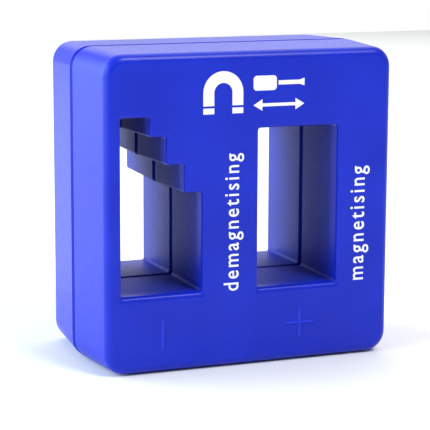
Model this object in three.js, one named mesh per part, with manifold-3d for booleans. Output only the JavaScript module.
// A magnetising and demagnetising block for watch and screwdriver work: two moulded plastic half
// shells that meet at a middle joint, round two ferrite magnets. Two openings run right through it.
// Millimetres, +Z up, +X right, the printed front face towards -Y, resting on z = 0.
import * as THREE from "three";
import { mergeVertices } from "three/addons/utils/BufferGeometryUtils.js";
import Module from "manifold-3d";

const wasm = await Module();
wasm.setup();

// ---- overall size
const WIDTH = 50;
const DEPTH = 28;
const HEIGHT = 50;
const SIGN_RAISE = 0.2; // the polarity signs stand this far out of the front face
const FRONT = -DEPTH / 2 + SIGN_RAISE; // front face
const BACK = DEPTH / 2;
const JOINT_Y = -0.3; // the plane where the half shells meet
const JOINT_GAP = 0.4; // open line between their rims
const JOINT_CHAMFER = 0.5; // both rims are eased, which makes a groove round the block
const GROOVE = JOINT_GAP / 2 + JOINT_CHAMFER; // half the groove's width

// ---- outer skin
const SIDE_DRAFT = 1.1; // how far the left and right sides lean in between the joint and an end face
const TOP_DRAFT = 0.3; // the same for the top and the underside
const CORNER_R = 3.3;
const EDGE_R = 1.3; // round between the sides and each end face
const SKIN = 2; // wall thickness
const FACE = 2; // thickness of each end face

// ---- the two openings, measured at the front face
const STAIR_LEFT = -21.5;
const STAIR_FLOOR = 12.5;
const STAIR_TOP = 40.1;
// each step of the stair opening: [its right wall, the ceiling above it], from the top step down
const STAIR_STEPS = [
  [-16.8, STAIR_TOP],
  [-14.1, 37.05],
  [-11.15, 32.65],
  [-8.25, 28.2],
];
const SLOT = { left: 1.1, right: 14.7, floor: 12.35, top: 37.7 };
const BORE_DRAFT = 0.25; // the openings narrow by this much between each end face and the joint
const BORE_EDGE_R = 0.55; // round where an opening meets an end face
const BORE_CORNER_R = 0.45;
const TUBE = 1.3; // wall round each opening

// ---- magnets: two equal ferrite blocks, one each side of the plain slot
const MAGNET = { thick: 5.4, depth: 22.4, tall: 25 };
const MAGNET_FLOOR = 12.6;
const CLEAR = 0.3; // free space between a magnet and the plastic round it
const RIB = 1.2;

// ---- the front shell's tongue, which laps inside the back shell's rim
const SKIN_LIP = 0.9;
const LIP_REACH = 1.6;

// ---- locating pins and sockets
const BOSS_R = 2.7;
const PIN_R = 1.1;
const PIN_LENGTH = 4;
const SOCKET_R = PIN_R + 0.3;
const PIN_PLACES = [
  [-18.6, 5.6],
  [18.6, 5.6],
  [-18.6, 44.6],
  [18.6, 44.6],
  [-3.5, 44.6],
  [-3.5, 5.6],
];

// ---- raised polarity signs on the front face
const SIGN_LINE = 0.6;
const SIGN_Z = 6.3;
const PLUS = { x: 8.3, arm: 5.1 };
const MINUS = { x: -14.8, arm: 4.8 };

const ARC = 6; // straight pieces in each quarter round

const PLASTIC = { color: 0x2432cf, roughness: 0.36, metalness: 0 };
const FERRITE = { color: 0x3a3a3d, roughness: 0.75, metalness: 0.1 };

// A closed geometry as a manifold-3d solid.
function solid(geometry) {
  const plain = geometry.clone();
  plain.deleteAttribute("normal");
  plain.deleteAttribute("uv");
  const merged = mergeVertices(plain, 1e-5);
  return new wasm.Manifold(
    new wasm.Mesh({
      numProp: 3,
      vertProperties: new Float32Array(merged.attributes.position.array),
      triVerts: new Uint32Array(merged.index.array),
    }),
  );
}

// A manifold-3d solid as a three.js geometry.
function geometryOf(body) {
  const mesh = body.getMesh();
  const made = new THREE.BufferGeometry();
  made.setAttribute("position", new THREE.BufferAttribute(mesh.vertProperties, 3));
  made.setIndex(new THREE.BufferAttribute(mesh.triVerts, 1));
  made.computeVertexNormals();
  return made;
}

// A box from its two corners.
function box(low, high) {
  const size = high.map((v, i) => v - low[i]);
  const geometry = new THREE.BoxGeometry(...size);
  geometry.translate(...low.map((v, i) => v + size[i] / 2));
  return solid(geometry);
}

// A round bar along Y.
function bar(radius, x, z, from, to, tip = radius) {
  const geometry = new THREE.CylinderGeometry(tip, radius, to - from, 20);
  geometry.translate(x, (from + to) / 2, z);
  return solid(geometry);
}

// Moves each side of a square-cornered outline outwards by `by`. Points run anticlockwise.
function grown(points, by) {
  return points.map((p, i) => {
    const before = points[(i + points.length - 1) % points.length];
    const after = points[(i + 1) % points.length];
    const inward = new THREE.Vector2().subVectors(p, before).normalize();
    const outward = new THREE.Vector2().subVectors(after, p).normalize();
    const moved = p.clone();
    moved.x += by * (inward.y + outward.y);
    moved.y -= by * (inward.x + outward.x);
    return moved;
  });
}

// Rounds each corner of a square-cornered outline with an arc.
function rounded(points, radius) {
  const out = [];
  points.forEach((p, i) => {
    const before = points[(i + points.length - 1) % points.length];
    const after = points[(i + 1) % points.length];
    const back = new THREE.Vector2().subVectors(before, p).normalize();
    const on = new THREE.Vector2().subVectors(after, p).normalize();
    for (let k = 0; k <= ARC; k++) {
      const turn = (k / ARC) * (Math.PI / 2);
      const along = radius * (1 - Math.sin(turn));
      const across = radius * (1 - Math.cos(turn));
      out.push(p.clone().addScaledVector(back, along).addScaledVector(on, across));
    }
  });
  return out;
}

// Skins a stack of outlines, each { y, outline }, from front to back into one closed solid.
function loft(stack) {
  const count = stack[0].outline.length;
  const positions = [];
  const index = [];
  stack.forEach(({ y, outline }) => outline.forEach((p) => positions.push(p.x, y, p.y)));
  for (let s = 0; s < stack.length - 1; s++)
    for (let k = 0; k < count; k++) {
      const a = s * count + k;
      const b = s * count + ((k + 1) % count);
      index.push(a, b + count, b, a, a + count, b + count);
    }
  const last = (stack.length - 1) * count;
  THREE.ShapeUtils.triangulateShape(stack[0].outline, []).forEach(([a, b, c]) => index.push(a, b, c));
  THREE.ShapeUtils.triangulateShape(stack.at(-1).outline, []).forEach(([a, b, c]) =>
    index.push(last + a, last + c, last + b),
  );
  const geometry = new THREE.BufferGeometry();
  geometry.setAttribute("position", new THREE.Float32BufferAttribute(positions, 3));
  geometry.setIndex(index);
  return solid(geometry);
}

const corner = (x, z) => new THREE.Vector2(x, z);

// How far a side has leaned in at depth y, given its lean between the groove and the end face.
function lean(y, whole) {
  const half = y < JOINT_Y ? JOINT_Y - FRONT : BACK - JOINT_Y;
  return (whole * Math.max(0, Math.abs(y - JOINT_Y) - GROOVE)) / (half - GROOVE);
}

const BLOCK = [
  corner(-WIDTH / 2, 0),
  corner(WIDTH / 2, 0),
  corner(WIDTH / 2, HEIGHT),
  corner(-WIDTH / 2, HEIGHT),
];

// The outline of the stair opening: up the right side step by step, then back down the left.
function stairOutline() {
  const steps = [...STAIR_STEPS].reverse();
  const points = [corner(STAIR_LEFT, STAIR_FLOOR), corner(steps[0][0], STAIR_FLOOR)];
  steps.forEach(([wall, ceiling], i) => {
    points.push(corner(wall, ceiling));
    if (i < steps.length - 1) points.push(corner(steps[i + 1][0], ceiling));
  });
  points.push(corner(STAIR_LEFT, STAIR_TOP));
  return points;
}

const SLOT_OUTLINE = [
  corner(SLOT.left, SLOT.floor),
  corner(SLOT.right, SLOT.floor),
  corner(SLOT.right, SLOT.top),
  corner(SLOT.left, SLOT.top),
];
const BORES = [stairOutline(), SLOT_OUTLINE];

// The block's outline at depth y, its sides leaned in and then drawn in by `inset`.
function skinOutline(y, inset) {
  const across = lean(y, SIDE_DRAFT) + inset;
  const up = lean(y, TOP_DRAFT) + inset;
  const drawn = BLOCK.map((p) => corner(p.x - Math.sign(p.x) * across, p.y + (p.y > 0 ? -up : up)));
  return rounded(drawn, CORNER_R - inset);
}

// Sections of one half's outer skin. `side` is -1 for the front half and 1 for the back half.
function skinStack(side) {
  const end = side < 0 ? FRONT : BACK;
  const rim = JOINT_Y + (side * JOINT_GAP) / 2;
  const stack = [];
  for (let k = 0; k <= ARC; k++) {
    const turn = (k / ARC) * (Math.PI / 2);
    const y = end - side * EDGE_R * (1 - Math.cos(turn));
    stack.push({ y, outline: skinOutline(y, EDGE_R * (1 - Math.sin(turn))) });
  }
  const eased = rim + side * JOINT_CHAMFER;
  stack.push({ y: eased, outline: skinOutline(eased, 0) });
  stack.push({ y: rim, outline: skinOutline(rim, JOINT_CHAMFER) });
  return side < 0 ? stack : stack.reverse();
}

// The cutter for one opening, which flares at both end faces and at the joint.
function boreCutter(outline) {
  const at = (y, by) => ({ y, outline: rounded(grown(outline, by), BORE_CORNER_R) });
  const narrow = (y) => lean(y, BORE_DRAFT) - BORE_DRAFT;
  const half = (side) => {
    const end = side < 0 ? FRONT : BACK;
    const stack = [at(end + side, BORE_EDGE_R)];
    for (let k = 0; k <= ARC; k++) {
      const turn = (k / ARC) * (Math.PI / 2);
      const y = end - side * BORE_EDGE_R * (1 - Math.cos(turn));
      stack.push(at(y, narrow(y) + BORE_EDGE_R * (1 - Math.sin(turn))));
    }
    const rim = JOINT_Y + (side * JOINT_GAP) / 2;
    const eased = rim + side * JOINT_CHAMFER;
    stack.push(at(eased, narrow(eased)));
    stack.push(at(rim, narrow(rim) + JOINT_CHAMFER));
    return side < 0 ? stack : stack.reverse();
  };
  return loft([...half(-1), ...half(1)]);
}

// The wall round one opening, over a range of depth.
function tubeWall(outline, thick, from, to) {
  const shape = (y) => ({ y, outline: rounded(grown(outline, thick), BORE_CORNER_R + thick) });
  return loft([shape(from), shape(to)]);
}

// Sections of the hollow inside one half, from its end face's inner side past the rim.
function hollow(side, inset) {
  const end = side < 0 ? FRONT + FACE : BACK - FACE;
  const rim = JOINT_Y;
  const shape = (y) => ({ y, outline: skinOutline(y, inset) });
  return side < 0 ? loft([shape(end), shape(rim)]) : loft([shape(rim), shape(end)]);
}

// Where the two magnets stand: one between the openings and one right of the slot.
const MAGNET_PLACES = [
  { name: "magnet_middle", x: (STAIR_STEPS.at(-1)[0] + SLOT.left) / 2 },
  { name: "magnet_right", x: SLOT.right + TUBE + CLEAR + MAGNET.thick / 2 + 0.1 },
];

// Ribs of one half that hold both magnets above and below.
function magnetRibs(side) {
  const end = side < 0 ? FRONT + FACE / 2 : BACK - FACE / 2;
  const rim = JOINT_Y + side * JOINT_GAP;
  const [from, to] = side < 0 ? [end, rim] : [rim, end];
  const reach = MAGNET.thick / 2 + 1.5;
  return MAGNET_PLACES.flatMap(({ x }) => {
    const under = MAGNET_FLOOR - CLEAR;
    const over = MAGNET_FLOOR + MAGNET.tall + CLEAR;
    return [
      box([x - reach, from, under - RIB], [x + reach, to, under]),
      box([x - reach, from, over], [x + reach, to, over + RIB]),
    ];
  });
}

// Stiffening ribs from the end face to half the hollow's depth, above and below the openings.
function stiffeners(side) {
  const end = side < 0 ? FRONT + FACE / 2 : BACK - FACE / 2;
  const tip = end - side * 6;
  const [from, to] = side < 0 ? [end, tip] : [tip, end];
  const xs = [-11, 7.5];
  return xs.flatMap((x) => [
    box([x - RIB / 2, from, SKIN / 2], [x + RIB / 2, to, SLOT.floor - TUBE / 2]),
    box([x - RIB / 2, from, SLOT.top + TUBE / 2], [x + RIB / 2, to, HEIGHT - SKIN / 2]),
  ]);
}

// The hollow half shell: skin, end face, opening walls, ribs and bosses.
function halfShell(side) {
  const body = loft(skinStack(side));
  const end = side < 0 ? FRONT + FACE / 2 : BACK - FACE / 2;
  const rim = JOINT_Y + (side * JOINT_GAP) / 2;
  const [from, to] = side < 0 ? [end, rim] : [rim, end];
  const walls = BORES.map((outline) => tubeWall(outline, TUBE, from, to));
  const bosses = PIN_PLACES.map(([x, z]) => bar(BOSS_R, x, z, from, to));
  const inside = wasm.Manifold.union([...walls, ...bosses, ...magnetRibs(side), ...stiffeners(side)]);
  const pockets = MAGNET_PLACES.map(({ x }) => magnetSpace(x));
  const room = hollow(side, SKIN).subtract(inside.subtract(wasm.Manifold.union(pockets)));
  return body.subtract(room).subtract(wasm.Manifold.union(BORES.map(boreCutter)));
}

// The block that a magnet fills, with its free space.
function magnetSpace(x) {
  const half = MAGNET.thick / 2 + CLEAR;
  const middle = (FRONT + BACK) / 2;
  const reach = MAGNET.depth / 2 + CLEAR;
  return box(
    [x - half, middle - reach, MAGNET_FLOOR - CLEAR],
    [x + half, middle + reach, MAGNET_FLOOR + MAGNET.tall + CLEAR],
  );
}

function frontShell() {
  const tongueFrom = JOINT_Y - 3;
  const tongueTo = JOINT_Y + LIP_REACH;
  const ring = (inset, y) => ({ y, outline: rounded(grown(BLOCK, -inset), CORNER_R - inset) });
  const outer = SKIN - SKIN_LIP;
  const tongue = loft([ring(outer, tongueFrom), ring(outer, tongueTo)]).subtract(
    loft([ring(SKIN, tongueFrom - 1), ring(SKIN, tongueTo + 1)]),
  );
  const sockets = PIN_PLACES.map(([x, z]) => bar(SOCKET_R, x, z, JOINT_Y - PIN_LENGTH - 0.6, JOINT_Y + 1));
  return halfShell(-1)
    .add(tongue)
    .subtract(wasm.Manifold.union(sockets))
    .add(wasm.Manifold.union(signs()));
}

function backShell() {
  const ring = (inset, y) => ({ y, outline: rounded(grown(BLOCK, -inset), CORNER_R - inset) });
  const rebateTo = JOINT_Y + LIP_REACH + CLEAR;
  const outer = SKIN - SKIN_LIP - CLEAR;
  const inner = SKIN + CLEAR;
  const rebate = loft([ring(outer, JOINT_Y - 1), ring(outer, rebateTo)]).subtract(
    loft([ring(inner, JOINT_Y - 2), ring(inner, rebateTo + 1)]),
  );
  const pins = PIN_PLACES.map(([x, z]) => bar(PIN_R, x, z, JOINT_Y - PIN_LENGTH, JOINT_Y + 2));
  return halfShell(1).subtract(rebate).add(wasm.Manifold.union(pins));
}

// The raised plus and upright minus under the openings.
function signs() {
  const half = SIGN_LINE / 2;
  const stroke = (x, z, w, h) => box([x - w, FRONT - SIGN_RAISE, z - h], [x + w, FRONT + SKIN / 2, z + h]);
  return [
    stroke(PLUS.x, SIGN_Z, half, PLUS.arm / 2),
    stroke(PLUS.x, SIGN_Z, PLUS.arm / 2, half),
    stroke(MINUS.x, SIGN_Z, half, MINUS.arm / 2),
  ];
}

function magnetBlock() {
  const chamfer = 0.4;
  const half = MAGNET.thick / 2;
  const tall = MAGNET.tall / 2;
  const deep = MAGNET.depth / 2;
  const face = [corner(-half, -tall), corner(half, -tall), corner(half, tall), corner(-half, tall)];
  const section = (y, inset) => ({ y, outline: grown(face, -inset) });
  return loft([
    section(-deep, chamfer),
    section(-deep + chamfer, 0),
    section(deep - chamfer, 0),
    section(deep, chamfer),
  ]);
}

function named(name, body, look) {
  const mesh = new THREE.Mesh(geometryOf(body), new THREE.MeshStandardMaterial(look));
  mesh.name = name;
  return mesh;
}

const block = new THREE.Group();
block.name = "demagnetizer";
block.add(named("front_shell", frontShell(), PLASTIC));
block.add(named("back_shell", backShell(), PLASTIC));

const magnets = new THREE.Group();
magnets.position.set(0, (FRONT + BACK) / 2, MAGNET_FLOOR + MAGNET.tall / 2);
MAGNET_PLACES.forEach(({ name, x }) => {
  const magnet = named(name, magnetBlock(), FERRITE);
  magnet.position.x = x;
  magnets.add(magnet);
});
block.add(magnets);

export default block;
